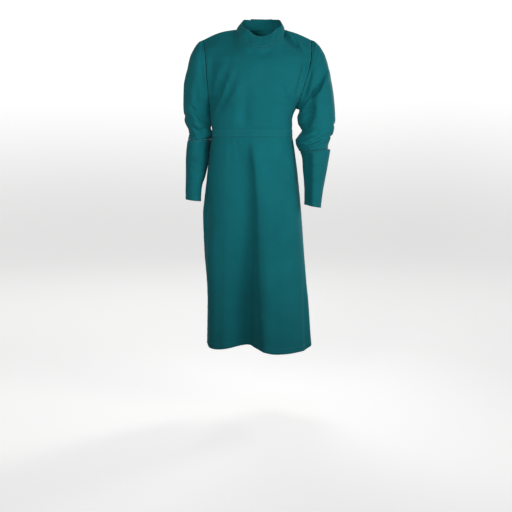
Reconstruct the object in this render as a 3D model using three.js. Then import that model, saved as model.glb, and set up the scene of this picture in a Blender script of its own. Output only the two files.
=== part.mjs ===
// A surgical gown of green cotton drill, in the hollow form that it has when it is worn.
// Millimetres, +Z up. The front faces -Y and the wearer's left is +X.
// The origin lies between the shoulders, level with the sides of the neck, where the wearer carries it.
// "drop" is a distance below the origin. "share" runs across a panel, -1 at the wearer's right
// edge, 0 in the middle and 1 at the wearer's left edge.
import * as THREE from "three";
import { mergeVertices } from "three/addons/utils/BufferGeometryUtils.js";

// Cloth
const singleCloth = 1.6; // one layer of drill, with its stiffness
const doubleCloth = 2.4; // two layers, in the collar and the cuffs
const tapeCloth = 1.2; // pressed band and ties
const seamGap = 0.3; // between two pieces at a seam
const clothColor = 0x17686c;

// Body
const shoulderDrop = 40; // shoulder tip
const underarmDrop = 312;
const bandTop = 398; // waist band, on the front and round to its knot
const bandBottom = 426;
const hemDrop = 1280;
const yokeDepth = 190; // below the tip, the neck and shoulders shape the panels down to here
const yokeEase = 0.34; // share of a panel over which that shape is rounded off further down
const frontBoxiness = 0.82; // under 1, a section is flatter in front than an ellipse

// Neck, as an oval that is low in front
const neck = { centre: 8, halfWidth: 96, seam: 4, frontReach: 92, frontDip: 78, backReach: 72, backRise: 8 };
const shoulderCrown = { right: 9, left: 4 }; // rise of each shoulder seam above a straight line

// Outline of the body, a row for each level. right and left are the edges of both panels,
// frontSeam and backSeam are where the panels' edges lie in depth, front and back their middles,
// and turn is the degrees that a panel has turned by its edge.
const bodySections = [
  { drop: 40, right: -222, left: 212, frontSeam: 10, backSeam: 10, front: -84, back: 90, turn: 86 },
  { drop: 112, right: -211, left: 211, frontSeam: -44, backSeam: 62, front: -110, back: 112, turn: 61 },
  { drop: 200, right: -205, left: 190, frontSeam: -60, backSeam: 74, front: -127, back: 122, turn: 59 },
  { drop: 272, right: -199, left: 166, frontSeam: -42, backSeam: 50, front: -128, back: 118, turn: 72 },
  { drop: 312, right: -197, left: 152, frontSeam: 4, backSeam: 4, front: -125, back: 113, turn: 88 },
  { drop: 352, right: -193, left: 135, frontSeam: 4, backSeam: 4, front: -121, back: 107, turn: 90 },
  { drop: 412, right: -187, left: 136, frontSeam: 2, backSeam: 2, front: -112, back: 98, turn: 90 },
  { drop: 520, right: -202, left: 152, frontSeam: 0, backSeam: 0, front: -122, back: 112, turn: 90 },
  { drop: 640, right: -214, left: 165, frontSeam: 0, backSeam: 0, front: -133, back: 127, turn: 90 },
  { drop: 728, right: -224, left: 173, frontSeam: 0, backSeam: 0, front: -139, back: 133, turn: 90 },
  { drop: 880, right: -221, left: 184, frontSeam: -4, backSeam: -4, front: -147, back: 140, turn: 90 },
  { drop: 1080, right: -209, left: 199, frontSeam: -8, backSeam: -8, front: -154, back: 146, turn: 90 },
  { drop: 1280, right: -211, left: 214, frontSeam: -12, backSeam: -12, front: -160, back: 152, turn: 90 },
];

// Hem line, as the drop of the edge at each share of a panel
const frontHem = [
  { share: -1, drop: 1270 },
  { share: -0.62, drop: 1284 },
  { share: -0.17, drop: 1266 },
  { share: 0.22, drop: 1292 },
  { share: 0.62, drop: 1288 },
  { share: 1, drop: 1262 },
];
const backHem = [
  { share: -1, drop: 1270 },
  { share: 0, drop: 1284 },
  { share: 1, drop: 1262 },
];

// Folds, a row for each. The middle of a fold goes from share start at drop from to share end at drop to.
// before and after are its widths on the wearer's right and left, depth is how far it stands out,
// rise and fade the lengths over which it comes up and dies away.
const frontFolds = [
  { from: 426, to: 1300, start: -0.04, end: -0.17, before: 190, after: 80, depth: -50, rise: 800, fade: 1 },
  { from: 640, to: 1300, start: 0.42, end: 0.3, before: 120, after: 150, depth: 12, rise: 500, fade: 1 },
  { from: 700, to: 1300, start: -0.72, end: -0.62, before: 90, after: 120, depth: 10, rise: 400, fade: 1 },
  { from: 860, to: 1300, start: 0.84, end: 0.84, before: 46, after: 40, depth: 9, rise: 300, fade: 1 },
  { from: 600, to: 1000, start: -0.84, end: -0.82, before: 30, after: 46, depth: -9, rise: 150, fade: 200 },
  { from: 130, to: 345, start: -0.5, end: -0.86, before: 34, after: 44, depth: -12, rise: 90, fade: 70 },
  { from: 150, to: 345, start: -0.3, end: -0.62, before: 26, after: 34, depth: -7, rise: 90, fade: 90 },
  { from: 200, to: 395, start: -0.12, end: -0.1, before: 40, after: 50, depth: -6, rise: 90, fade: 40 },
  { from: 90, to: 300, start: 0.93, end: 0.86, before: 30, after: 26, depth: -9, rise: 60, fade: 90 },
  { from: 426, to: 600, start: -0.3, end: -0.34, before: 22, after: 26, depth: -4, rise: 25, fade: 120 },
  { from: 426, to: 560, start: -0.16, end: -0.2, before: 20, after: 22, depth: -4, rise: 25, fade: 90 },
  { from: 426, to: 580, start: 0.2, end: 0.24, before: 24, after: 26, depth: -3, rise: 25, fade: 100 },
];
const backFolds = [
  { from: 426, to: 1300, start: 0.42, end: 0.45, before: 110, after: 100, depth: -26, rise: 600, fade: 1 },
  { from: 426, to: 1300, start: -0.42, end: -0.5, before: 100, after: 110, depth: -30, rise: 600, fade: 1 },
  { from: 426, to: 1300, start: 0.02, end: 0.04, before: 120, after: 120, depth: 16, rise: 600, fade: 1 },
  { from: 170, to: 392, start: 0.62, end: 0.34, before: 44, after: 50, depth: -9, rise: 110, fade: 60 },
  { from: 170, to: 392, start: -0.6, end: -0.3, before: 50, after: 44, depth: -9, rise: 110, fade: 60 },
];

// Back opening
const overlapColumns = 3; // back panels and collar ends run this many columns past the middle
const lapRoom = 2.8; // what is underneath lies this far inside what is on top
const lapFade = 2; // columns over which it comes out again

// Sleeves and cuffs, a row for each ring. The ring's outer point is at outer and outerDrop and its
// inner point, next to the body, at inner and innerDrop, and behind is how far it lies behind the outer one.
// front and back are the ring's reach forward and back.
const rightSleeve = [
  { outer: -222, outerDrop: 40, inner: -197, innerDrop: 312, behind: 0, front: -60, back: 74 },
  { outer: -250, outerDrop: 76, inner: -203, innerDrop: 318, behind: 2, front: -66, back: 82 },
  { outer: -280, outerDrop: 138, inner: -204, innerDrop: 327, behind: 10, front: -70, back: 87 },
  { outer: -300, outerDrop: 212, inner: -201, innerDrop: 340, behind: 24, front: -72, back: 90 },
  { outer: -304, outerDrop: 300, inner: -198, innerDrop: 360, behind: 28, front: -70, back: 88 },
  { outer: -299, outerDrop: 366, inner: -204, innerDrop: 394, behind: 4, front: -66, back: 82 },
  { outer: -282, outerDrop: 414, inner: -194, innerDrop: 418, behind: 30, front: -60, back: 74 },
  { outer: -285, outerDrop: 438, inner: -192, innerDrop: 436, behind: 34, front: -60, back: 72 },
];
const rightCuff = [
  { outer: -285, outerDrop: 438, inner: -192, innerDrop: 436, behind: 34, front: -60, back: 72 },
  { outer: -290, outerDrop: 450, inner: -193, innerDrop: 450, behind: 34, front: -64, back: 72 },
  { outer: -296, outerDrop: 520, inner: -203, innerDrop: 518, behind: 28, front: -67, back: 60 },
  { outer: -296, outerDrop: 584, inner: -220, innerDrop: 584, behind: 12, front: -70, back: 42 },
  { outer: -296, outerDrop: 640, inner: -231, innerDrop: 640, behind: 4, front: -72, back: 24 },
  { outer: -295, outerDrop: 678, inner: -234, innerDrop: 686, behind: 0, front: -72, back: 14 },
];
const leftSleeve = [
  { outer: 212, outerDrop: 40, inner: 152, innerDrop: 312, behind: 0, front: -60, back: 74 },
  { outer: 244, outerDrop: 72, inner: 164, innerDrop: 316, behind: 0, front: -64, back: 82 },
  { outer: 276, outerDrop: 135, inner: 166, innerDrop: 320, behind: 0, front: -68, back: 86 },
  { outer: 298, outerDrop: 215, inner: 164, innerDrop: 330, behind: 0, front: -72, back: 86 },
  { outer: 309, outerDrop: 300, inner: 157, innerDrop: 348, behind: 0, front: -75, back: 84 },
  { outer: 312, outerDrop: 362, inner: 160, innerDrop: 376, behind: 0, front: -77, back: 80 },
  { outer: 303, outerDrop: 414, inner: 176, innerDrop: 402, behind: 0, front: -74, back: 76 },
  { outer: 290, outerDrop: 440, inner: 150, innerDrop: 438, behind: 0, front: -82, back: 76 },
  { outer: 281, outerDrop: 462, inner: 152, innerDrop: 458, behind: 0, front: -82, back: 72 },
  { outer: 280, outerDrop: 474, inner: 170, innerDrop: 486, behind: 0, front: -76, back: 66 },
];
const leftCuff = [
  { outer: 280, outerDrop: 474, inner: 170, innerDrop: 486, behind: 0, front: -76, back: 66 },
  { outer: 292, outerDrop: 480, inner: 172, innerDrop: 493, behind: 0, front: -83, back: 69 },
  { outer: 286, outerDrop: 512, inner: 178, innerDrop: 516, behind: 0, front: -85, back: 60 },
  { outer: 277, outerDrop: 560, inner: 180, innerDrop: 560, behind: 0, front: -87, back: 46 },
  { outer: 262, outerDrop: 640, inner: 186, innerDrop: 638, behind: 0, front: -88, back: 20 },
  { outer: 252, outerDrop: 711, inner: 186, innerDrop: 699, behind: 0, front: -90, back: 4 },
];

// Folds of a sleeve. The angle is 0 at the outer point, 90 in front and 180 next to the body;
// ring counts the rows of the sleeve's table; width is in degrees.
const rightSleeveFolds = [
  { ring: 2.6, angle: 80, toRing: 5.4, toAngle: 175, width: 26, depth: -8 },
  { ring: 4.2, angle: 20, toRing: 6.2, toAngle: 120, width: 24, depth: -9 },
  { ring: 3, angle: 285, toRing: 5.6, toAngle: 215, width: 28, depth: -9 },
];
const leftSleeveFolds = [
  { ring: 1.6, angle: 62, toRing: 4.4, toAngle: 150, width: 34, depth: -14 },
  { ring: 3.6, angle: 88, toRing: 6.4, toAngle: 138, width: 36, depth: -12 },
  { ring: 6, angle: 40, toRing: 8, toAngle: 130, width: 34, depth: -7 },
  { ring: 3, angle: 290, toRing: 5.6, toAngle: 215, width: 28, depth: -9 },
];

// Collar, as a leaning band from the neck seam up to an oval that is low in front.
// angle is 0 in front and 180 at the back, the same on either side.
const collarTop = { centre: 13, halfWidth: 78, front: -62, back: 62 };
const collarEdge = [
  { angle: -20, rise: -27 },
  { angle: 0, rise: -33 },
  { angle: 20, rise: -27 },
  { angle: 42, rise: -6 },
  { angle: 78, rise: 14 },
  { angle: 116, rise: 42 },
  { angle: 180, rise: 48 },
];
const collarBulge = 3; // how far the middle of the band stands out

// Ties at the back, each a knot with two tails. spread is how far a tail's middle moves
// away from the middle of the back, from its top to its end, and lift how far it hangs off the back.
const neckTie = { width: 14, from: 40, to: 205, spread: [9, 22], knot: [15, 6, 9], lift: [5, 3] };
const neckKnot = { behind: -1.2, above: 10.6 }; // from the seam of the collar
const waistTie = { width: 22, from: 427.1, to: 670, spread: [12, 30], knot: [22, 9, 15], lift: [6, 3] };
const tieLift = 0.3; // between a tie and what it lies on
const knotBoxiness = 0.7; // under 1, a knot is squarer than an egg

// Grid of the solids
const shoulderColumns = 7;
const neckColumns = 16; // across the neckline of the front, and of the back
const rowStretches = [ // below the underarm
  { to: bandTop, rows: 4 },
  { to: bandBottom, rows: 2 },
  { to: hemDrop, rows: 14 },
];
const ringColumns = 22;
const rowsPerRing = 2;
const collarRows = 4;
const tailRows = 8;

// Shared arithmetic
const radians = THREE.MathUtils.degToRad;
const lerp = THREE.MathUtils.lerp;
const smooth = THREE.MathUtils.smoothstep;
const point = (x, y, z) => new THREE.Vector3(x, y, z);

// Slopes of a monotone cubic through the rows, so that a column never overshoots between two of them
function monotoneSlopes(at, values) {
  const steps = at.slice(1).map((a, k) => (values[k + 1] - values[k]) / (a - at[k]));
  const inner = steps.slice(1).map((s, k) => (s * steps[k] > 0 ? (2 * s * steps[k]) / (s + steps[k]) : 0));
  return [steps[0], ...inner, steps[steps.length - 1]];
}

// Reads the columns of a table at any place along its first column
function tableReader(rows) {
  const [by, ...columns] = Object.keys(rows[0]);
  const at = rows.map((row) => row[by]);
  const slopes = columns.map((c) => monotoneSlopes(at, rows.map((row) => row[c])));
  return (place) => {
    const p = THREE.MathUtils.clamp(place, at[0], at[at.length - 1]);
    const k = Math.min(at.length - 2, at.filter((a) => a <= p).length - 1);
    const span = at[k + 1] - at[k];
    const t = (p - at[k]) / span;
    const found = {};
    columns.forEach((c, i) => {
      const [a, b] = [rows[k][c], rows[k + 1][c]];
      const [ma, mb] = [slopes[i][k] * span, slopes[i][k + 1] * span];
      const bend = (1 - t) * (a - b + ma) + t * (b - a - mb);
      found[c] = lerp(a, b, t) + t * (1 - t) * bend;
    });
    return found;
  };
}

const bodyAt = tableReader(bodySections);
const frontHemAt = tableReader(frontHem);
const backHemAt = tableReader(backHem);

// A cosine hump, 1 in the middle and 0 a width away on either side
const hump = (offset, before, after) => {
  const x = offset < 0 ? offset / before : offset / after;
  return Math.abs(x) < 1 ? (1 + Math.cos(Math.PI * x)) / 2 : 0;
};

// How far the folds move the cloth outwards at a share and drop
function foldDepth(folds, share, drop, reach) {
  let depth = 0;
  for (const f of folds) {
    if (drop <= f.from || drop >= f.to) continue;
    const middle = lerp(f.start, f.end, (drop - f.from) / (f.to - f.from));
    const grown = smooth(drop, f.from, f.from + f.rise) * (1 - smooth(drop, f.to - f.fade, f.to));
    depth += f.depth * grown * hump((share - middle) * reach, f.before, f.after);
  }
  return depth;
}

// Top edge of a panel: the shoulder seams and, between them, the neckline
function topEdge(share, isFront) {
  const tip = bodySections[0];
  const side = Math.sign(share) || 1;
  if (Math.abs(share) > neckShare) {
    const t = (Math.abs(share) - neckShare) / (1 - neckShare);
    const crown = (side < 0 ? shoulderCrown.right : shoulderCrown.left) * Math.sin(Math.PI * t);
    const tipX = side < 0 ? tip.right : tip.left;
    return point(
      lerp(neck.centre + side * neck.halfWidth, tipX, t),
      lerp(neck.seam, tip.frontSeam, t),
      -shoulderDrop * t + crown,
    );
  }
  return neckline((share / neckShare) * 90, isFront);
}

// Neck seam at an angle from the middle of the front or back
function neckline(angle, isFront) {
  const across = Math.sin(radians(angle));
  const forward = Math.cos(radians(angle));
  return point(
    neck.centre + neck.halfWidth * across,
    neck.seam + (isFront ? -neck.frontReach : neck.backReach) * forward,
    isFront ? -neck.frontDip * forward ** 1.3 : neck.backRise * forward,
  );
}

// A level section of a panel
function section(share, drop, isFront) {
  const s = bodyAt(drop);
  const [seam, reach] = isFront ? [s.frontSeam, s.front] : [s.backSeam, s.back];
  const turn = radians(s.turn);
  const angle = share * turn;
  const half = (s.left - s.right) / 2;
  const depth = Math.max(0, (Math.cos(angle) - Math.cos(turn)) / (1 - Math.cos(turn))) ** frontBoxiness;
  const place = point(
    (s.left + s.right) / 2 + (half * Math.sin(angle)) / Math.sin(turn),
    seam + (reach - seam) * depth,
    -drop,
  );
  const outward = point(Math.sin(angle), (isFront ? -1 : 1) * Math.cos(angle), 0);
  return { place, outward, quarter: (Math.PI / 2) * Math.hypot(half, reach) * Math.SQRT1_2 };
}

// How far the shoulders and the neckline draw a panel away from its level section
function yokePull(share, drop, isFront) {
  const eased = yokeEase * smooth(drop, shoulderDrop, shoulderDrop + yokeDepth / 2);
  const ease = Math.min(1 - Math.abs(share), eased);
  const pull = point(0, 0, 0);
  const weights = [1, 2, 3, 2, 1];
  weights.forEach((weight, i) => {
    const near = share + (ease * (i - 2)) / 2;
    const drawn = topEdge(near, isFront).sub(section(near, shoulderDrop, isFront).place);
    pull.addScaledVector(drawn, weight / 9);
  });
  return pull;
}

// A point of the front or back of the body
function bodyPoint(share, drop, isFront) {
  const { place, outward, quarter } = section(share, drop, isFront);
  const yoke = Math.max(0, 1 - (drop - shoulderDrop) / yokeDepth) ** 2;
  if (yoke > 0) place.addScaledVector(yokePull(share, drop, isFront), yoke);
  const skirt = Math.max(0, (drop - bandBottom) / (hemDrop - bandBottom));
  const hem = (isFront ? frontHemAt : backHemAt)(share).drop;
  place.z -= (hem - hemDrop) * skirt ** 2;
  return place.addScaledVector(outward, foldDepth(isFront ? frontFolds : backFolds, share, drop, quarter));
}

// Drop of the armhole seam at an angle from the shoulder tip, which is 90 in front and 180 under the arm
const armholeDrop = (angle) => lerp(shoulderDrop, underarmDrop, (1 - Math.cos(radians(angle))) / 2);
const armhole = (side, angle) => bodyPoint(side, armholeDrop(angle), angle < 180);

// Columns and rows of the panels
const lastColumn = neckColumns + 2 * shoulderColumns;
const neckShare = neckColumns / lastColumn;
const shares = Array.from({ length: lastColumn + 1 }, (_, i) => -1 + (2 * i) / lastColumn);
const middleColumn = lastColumn / 2;

// Rows of the armhole follow a half circle, as the first ring of a sleeve does
function dropRows() {
  const half = ringColumns / 2;
  const drops = Array.from({ length: half + 1 }, (_, k) => armholeDrop((180 * k) / half));
  for (const stretch of rowStretches) {
    const from = drops.at(-1);
    for (let i = 1; i <= stretch.rows; i += 1) drops.push(lerp(from, stretch.to, i / stretch.rows));
  }
  return drops;
}
const panelDrops = dropRows();

// Outward directions of a grid of points, whose rows run down and whose columns run to the
// left as seen from inside
function outwardOf(rows, closed) {
  const last = rows.length - 1;
  const count = rows[0].length;
  const column = (j) => (closed ? (j + count) % count : Math.max(0, Math.min(count - 1, j)));
  return rows.map((row, i) =>
    row.map((_, j) => {
      const down = rows[Math.min(last, i + 1)][j].clone().sub(rows[Math.max(0, i - 1)][j]);
      const across = row[column(j + 1)].clone().sub(row[column(j - 1)]);
      return down.cross(across).normalize();
    }),
  );
}

// A closed wall of cloth behind a grid of outer points
function clothWall(rows, thickness, { closed = false, outward = outwardOf(rows, closed) } = {}) {
  const [height, count] = [rows.length, rows[0].length];
  const positions = [];
  const put = (p) => positions.push(p.x, p.y, p.z);
  rows.forEach((row) => row.forEach(put));
  rows.forEach((row, i) => row.forEach((p, j) => put(p.clone().addScaledVector(outward[i][j], -thickness))));
  const outer = (i, j) => i * count + (j % count);
  const inner = (i, j) => height * count + outer(i, j);
  const faces = [];
  const quad = (a, b, c, d) => faces.push(a, b, c, a, c, d);
  const columns = closed ? count : count - 1;
  for (let j = 0; j < columns; j += 1) {
    for (let i = 0; i < height - 1; i += 1) {
      quad(outer(i, j), outer(i + 1, j), outer(i + 1, j + 1), outer(i, j + 1));
      quad(inner(i, j), inner(i, j + 1), inner(i + 1, j + 1), inner(i + 1, j));
    }
    quad(outer(0, j), outer(0, j + 1), inner(0, j + 1), inner(0, j));
    quad(outer(height - 1, j), inner(height - 1, j), inner(height - 1, j + 1), outer(height - 1, j + 1));
  }
  if (!closed) {
    for (let i = 0; i < height - 1; i += 1) {
      quad(outer(i, 0), inner(i, 0), inner(i + 1, 0), outer(i + 1, 0));
      quad(outer(i, count - 1), outer(i + 1, count - 1), inner(i + 1, count - 1), inner(i, count - 1));
    }
  }
  const geometry = new THREE.BufferGeometry();
  geometry.setAttribute("position", new THREE.Float32BufferAttribute(positions, 3));
  geometry.setIndex(faces);
  geometry.computeVertexNormals();
  return geometry;
}

// Grids of the front and back. The back's columns run from the wearer's left to the right.
const frontGrid = panelDrops.map((drop) => shares.map((share) => bodyPoint(share, drop, true)));
const backGrid = panelDrops.map((drop) => shares.map((share) => bodyPoint(share, drop, false)).reverse());
const frontOutward = outwardOf(frontGrid, false);
const backOutward = outwardOf(backGrid, false);

// Where front and back meet, at the shoulders and down the sides, both walls are cut square to the seam
function shareOutward(front, back) {
  const both = front.clone().add(back).normalize();
  front.copy(both);
  back.copy(both);
}
for (let k = 0; k <= shoulderColumns; k += 1) {
  shareOutward(frontOutward[0][k], backOutward[0][lastColumn - k]);
  shareOutward(frontOutward[0][lastColumn - k], backOutward[0][k]);
}
panelDrops.forEach((drop, i) => {
  if (drop < underarmDrop) return;
  shareOutward(frontOutward[i][0], backOutward[i].at(-1));
  shareOutward(frontOutward[i].at(-1), backOutward[i][0]);
});

// The part of a panel's grid between two columns, drawn in by half a seam gap at its seams
function panelRows(grid, from, to, seams) {
  const rows = grid.map((row) => row.slice(from, to + 1).map((p) => p.clone()));
  const draw = (p, towards) => p.lerp(towards, seamGap / 2 / p.distanceTo(towards));
  for (const row of rows) {
    if (seams.first) draw(row[0], row[1]);
    if (seams.last) draw(row.at(-1), row.at(-2));
  }
  rows[0].forEach((p, j) => draw(p, rows[1][j]));
  return rows;
}

// Draws the first columns of a piece in, so that they run under the end of another
function tuckUnder(rows, outward) {
  rows.forEach((row, i) =>
    row.forEach((p, j) => {
      const tucked = 1 - smooth(j, 2 * overlapColumns, 2 * overlapColumns + lapFade);
      p.addScaledVector(outward[i][j], -lapRoom * tucked);
    }),
  );
  return rows;
}

// A ring of a sleeve or cuff at a place in its table
function sleeveRing(table, folds, place, angle) {
  const r = table(place);
  const outer = point(r.outer, (r.front + r.back) / 2, -r.outerDrop);
  const inner = point(r.inner, (r.front + r.back) / 2 + r.behind, -r.innerDrop);
  const middle = outer.clone().add(inner).multiplyScalar(0.5);
  const across = outer.sub(inner).multiplyScalar(0.5);
  const forward = point(0, (r.front - r.back) / 2, 0);
  const spoke = across.multiplyScalar(Math.cos(radians(angle)));
  spoke.addScaledVector(forward, Math.sin(radians(angle)));
  let depth = 0;
  for (const f of folds) {
    const along = (place - f.ring) / (f.toRing - f.ring);
    if (along <= 0 || along >= 1) continue;
    const offset = angle - lerp(f.angle, f.toAngle, along);
    depth += f.depth * Math.sin(Math.PI * along) * hump(offset, f.width, f.width);
  }
  return middle.add(spoke.clone()).addScaledVector(spoke.normalize(), depth);
}

// Rings of points down a sleeve or cuff, each running round from the outer point
function tubeRows(rows, folds, side, startsAtArmhole) {
  const table = tableReader(rows.map((row, ring) => ({ ring, ...row })));
  const steps = (rows.length - 1) * rowsPerRing;
  const made = [];
  for (let i = 0; i <= steps; i += 1) {
    const place = i / rowsPerRing;
    const hold = startsAtArmhole ? Math.max(0, 1 - place / 1.5) ** 2 : 0;
    const ring = [];
    for (let j = 0; j < ringColumns; j += 1) {
      const turned = (360 * j) / ringColumns;
      const angle = side < 0 ? turned : (360 - turned) % 360;
      const p = sleeveRing(table, folds, place, angle);
      if (hold > 0) p.addScaledVector(armhole(side, angle).sub(sleeveRing(table, [], 0, angle)), hold);
      ring.push(p);
    }
    made.push(ring);
  }
  return made;
}

// Moves the first row of a grid along it, clear of the piece before it
function startAfterSeam(rows) {
  rows[0].forEach((p, j) => p.lerp(rows[1][j], seamGap / p.distanceTo(rows[1][j])));
  return rows;
}

// Outward directions of a sleeve. Over the shoulder its first ring is cut square to the panels' edges.
function sleeveOutward(rows, side) {
  const outward = outwardOf(rows, true);
  outward[0].forEach((n, j) => {
    const half = ringColumns / 2;
    const [row, ahead] = j <= half ? [j, side < 0] : [ringColumns - j, side > 0];
    const [front, back] = side < 0 ? [0, lastColumn] : [lastColumn, 0];
    const panel = ahead ? frontOutward[row][front] : backOutward[row][back];
    n.lerp(panel, (1 + Math.cos((Math.PI * row) / half)) / 2).normalize();
  });
  return outward;
}

// The neck seam all round, from 0 in front to 180 at the back and on the wearer's right below 0
const neckSeam = (turn) =>
  Math.abs(turn) <= 90 ? neckline(turn, true) : neckline(Math.sign(turn) * (180 - Math.abs(turn)), false);

// Collar, from its end under the other one, round the front and back to the end on top
function collarGrid() {
  const edgeAt = tableReader(collarEdge);
  const step = 180 / neckColumns;
  const end = 180 + overlapColumns * step;
  const rows = Array.from({ length: collarRows + 1 }, () => []);
  for (let turn = -end; turn <= end; turn += step) {
    const [across, forward] = [Math.sin(radians(turn)), Math.cos(radians(turn))];
    const top = point(
      collarTop.centre + collarTop.halfWidth * across,
      (forward > 0 ? collarTop.front : -collarTop.back) * forward,
      edgeAt(Math.abs(turn)).rise,
    );
    const bottom = neckSeam(turn);
    bottom.lerp(top, seamGap / bottom.distanceTo(top));
    rows.forEach((row, i) => {
      const t = i / collarRows;
      const bulge = collarBulge * Math.sin(Math.PI * t);
      row.push(top.clone().lerp(bottom, t).add(point(across * bulge, -forward * bulge, 0)));
    });
  }
  return rows;
}

// A strip lying on rows of a panel
function stripOn(rows, outward) {
  const lifted = rows.map((row, i) =>
    row.map((p, j) => p.clone().addScaledVector(outward[i][j], tieLift + tapeCloth)),
  );
  return clothWall(lifted, tapeCloth, { outward });
}

// A knot whose inner face is just clear of a place
function knot(place, size) {
  const geometry = new THREE.SphereGeometry(1, 16, 10);
  geometry.deleteAttribute("uv");
  geometry.deleteAttribute("normal");
  const round = mergeVertices(geometry);
  const spots = round.getAttribute("position");
  const squarer = (value) => Math.sign(value) * Math.abs(value) ** knotBoxiness;
  for (let i = 0; i < spots.count; i += 1) {
    const [x, y, z] = [spots.getX(i), spots.getY(i), spots.getZ(i)].map(squarer);
    spots.setXYZ(i, place.x + size[0] * x, place.y + size[1] * (1 + y) + seamGap, place.z + size[2] * z);
  }
  round.computeVertexNormals();
  return round;
}

// A tail of a tie, hanging down the middle of the back on one side
function tail(tie, side) {
  const rows = [];
  for (let i = 0; i <= tailRows; i += 1) {
    const t = i / tailRows;
    const drop = lerp(tie.from, tie.to, t);
    const middle = bodyPoint(0, drop, false);
    const perMillimetre = 0.1 / (bodyPoint(0.1, drop, false).x - middle.x);
    const spread = lerp(tie.spread[0], tie.spread[1], t);
    rows.push([1, 0, -1].map((edge) => {
      const offset = side * spread + (edge * tie.width) / 2;
      return bodyPoint(offset * perMillimetre, drop, false);
    }));
  }
  const outward = outwardOf(rows, false);
  rows.forEach((row, i) => {
    const lift = lerp(tie.lift[0], tie.lift[1], smooth(i / tailRows, 0, 0.5));
    row.forEach((p, j) => p.addScaledVector(outward[i][j], lift));
  });
  return clothWall(rows, tapeCloth, { outward });
}

// Pieces
const gown = new THREE.Group();

const drill = new THREE.MeshStandardMaterial({ color: clothColor, roughness: 0.85, metalness: 0 });

function addPiece(name, geometry) {
  const mesh = new THREE.Mesh(geometry, drill);
  mesh.name = name;
  gown.add(mesh);
}

const slice = (grid, from, to) => grid.map((row) => row.slice(from, to + 1));
const atBand = (grid) => grid.filter((_, i) => panelDrops[i] >= bandTop && panelDrops[i] <= bandBottom);

// Front, from shoulder to shoulder and down to the hem
const frontRows = panelRows(frontGrid, 0, lastColumn, { first: true, last: true });
addPiece("front_panel", clothWall(frontRows, singleCloth, { outward: frontOutward }));

// Back panels. The left one lies on top and the right one runs in under it.
const lapStart = middleColumn - overlapColumns;
const lapEnd = middleColumn + overlapColumns;
const leftBackRows = panelRows(backGrid, 0, lapEnd, { first: true });
addPiece("back_left", clothWall(leftBackRows, singleCloth, { outward: slice(backOutward, 0, lapEnd) }));
const rightBackOutward = slice(backOutward, lapStart, lastColumn);
const rightBackRows = tuckUnder(panelRows(backGrid, lapStart, lastColumn, { last: true }), rightBackOutward);
addPiece("back_right", clothWall(rightBackRows, singleCloth, { outward: rightBackOutward }));

// Sleeves, each with a long cuff
const sleeves = [
  { name: "right", side: -1, sleeve: rightSleeve, cuff: rightCuff, folds: rightSleeveFolds },
  { name: "left", side: 1, sleeve: leftSleeve, cuff: leftCuff, folds: leftSleeveFolds },
];
for (const { name, side, sleeve, cuff, folds } of sleeves) {
  const sleeveRows = startAfterSeam(tubeRows(sleeve, folds, side, true));
  const outward = sleeveOutward(sleeveRows, side);
  const cuffRows = startAfterSeam(tubeRows(cuff, [], side, false));
  const cuffOutward = outwardOf(cuffRows, true);
  outward.at(-1).forEach((n, j) => shareOutward(n, cuffOutward[0][j]));
  addPiece(`sleeve_${name}`, clothWall(sleeveRows, singleCloth, { closed: true, outward }));
  addPiece(`cuff_${name}`, clothWall(cuffRows, doubleCloth, { closed: true, outward: cuffOutward }));
}

// Stand collar, lapped at the back
const collarPoints = collarGrid();
const collarOutward = outwardOf(collarPoints, false);
tuckUnder(collarPoints, collarOutward);
addPiece("collar", clothWall(collarPoints, doubleCloth, { outward: collarOutward }));

// Waist band across the front, and the ties that carry it on round the back
addPiece("waist_band", stripOn(atBand(frontRows), atBand(frontOutward)));
const waistTies = { left: [0, middleColumn], right: [middleColumn, lastColumn] };
for (const [name, [from, to]] of Object.entries(waistTies)) {
  const rows = panelRows(backGrid, from, to, { first: true, last: true });
  addPiece(`waist_tie_${name}`, stripOn(atBand(rows), atBand(slice(backOutward, from, to))));
}

// Knots and their tails
const waistPlace = bodyPoint(0, (bandTop + bandBottom) / 2, false);
waistPlace.y += tieLift + tapeCloth;
const neckPlace = neckSeam(180).add(point(0, neckKnot.behind, neckKnot.above));
for (const [name, tie, place] of [["waist", waistTie, waistPlace], ["neck", neckTie, neckPlace]]) {
  addPiece(`${name}_knot`, knot(place, tie.knot));
  addPiece(`${name}_tail_left`, tail(tie, 1));
  addPiece(`${name}_tail_right`, tail(tie, -1));
}

export default gown;
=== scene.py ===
import math
import bmesh
import bpy
import numpy as np
from mathutils import Matrix, Vector, kdtree, noise


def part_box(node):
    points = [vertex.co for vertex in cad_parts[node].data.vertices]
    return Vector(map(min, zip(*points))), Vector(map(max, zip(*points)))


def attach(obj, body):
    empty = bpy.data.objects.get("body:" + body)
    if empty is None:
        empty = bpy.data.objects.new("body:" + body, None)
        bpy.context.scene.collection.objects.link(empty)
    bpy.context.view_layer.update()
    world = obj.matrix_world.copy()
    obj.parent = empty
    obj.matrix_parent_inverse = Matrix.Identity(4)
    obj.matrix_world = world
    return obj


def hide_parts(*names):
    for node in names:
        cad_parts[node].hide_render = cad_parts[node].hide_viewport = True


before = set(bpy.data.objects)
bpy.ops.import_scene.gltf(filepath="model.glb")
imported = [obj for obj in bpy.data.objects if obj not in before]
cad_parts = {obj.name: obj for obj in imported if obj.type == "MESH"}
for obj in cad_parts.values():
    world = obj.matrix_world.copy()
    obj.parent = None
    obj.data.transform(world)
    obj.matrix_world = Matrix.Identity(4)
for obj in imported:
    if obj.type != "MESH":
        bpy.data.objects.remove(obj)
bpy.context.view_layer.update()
print("frame:", len(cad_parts), "nodes")

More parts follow.
